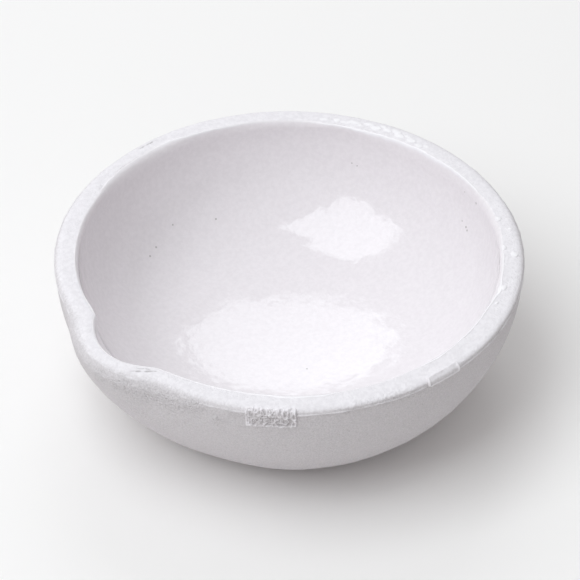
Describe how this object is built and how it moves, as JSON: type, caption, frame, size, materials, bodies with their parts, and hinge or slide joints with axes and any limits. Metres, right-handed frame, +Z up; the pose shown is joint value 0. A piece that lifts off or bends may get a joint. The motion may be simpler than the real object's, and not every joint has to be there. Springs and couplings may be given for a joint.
{
  "type": "evaporating dish",
  "caption": "Thick-walled round ceramic evaporating dish with a pouring lip, glazed inside, bare and sandy outside, standing on a flat foot.",
  "frame": {"origin": "centre of the flat foot that the dish stands on", "axes": "+Z up through the middle of the dish's opening, +X out through the pouring lip"},
  "size_m": [0.0927, 0.0904, 0.0302],
  "materials": {
    "bare_clay": "fired bare clay, off-white, matt and finely sandy",
    "glaze": "thick glossy white glaze with an orange-peel surface and a few pinholes",
    "glaze_drops": "glossy white glaze, in small round drops",
    "pad_clay": "fired bare clay, off-white, slightly rougher than the wall"
  },
  "bodies": {
    "root": {"dish_body": "bare_clay", "glaze_lining": "glaze", "glaze_beads": "glaze_drops", "mark_tablet": "pad_clay", "size_tablet": "pad_clay"}
  },
  "joints": []
}
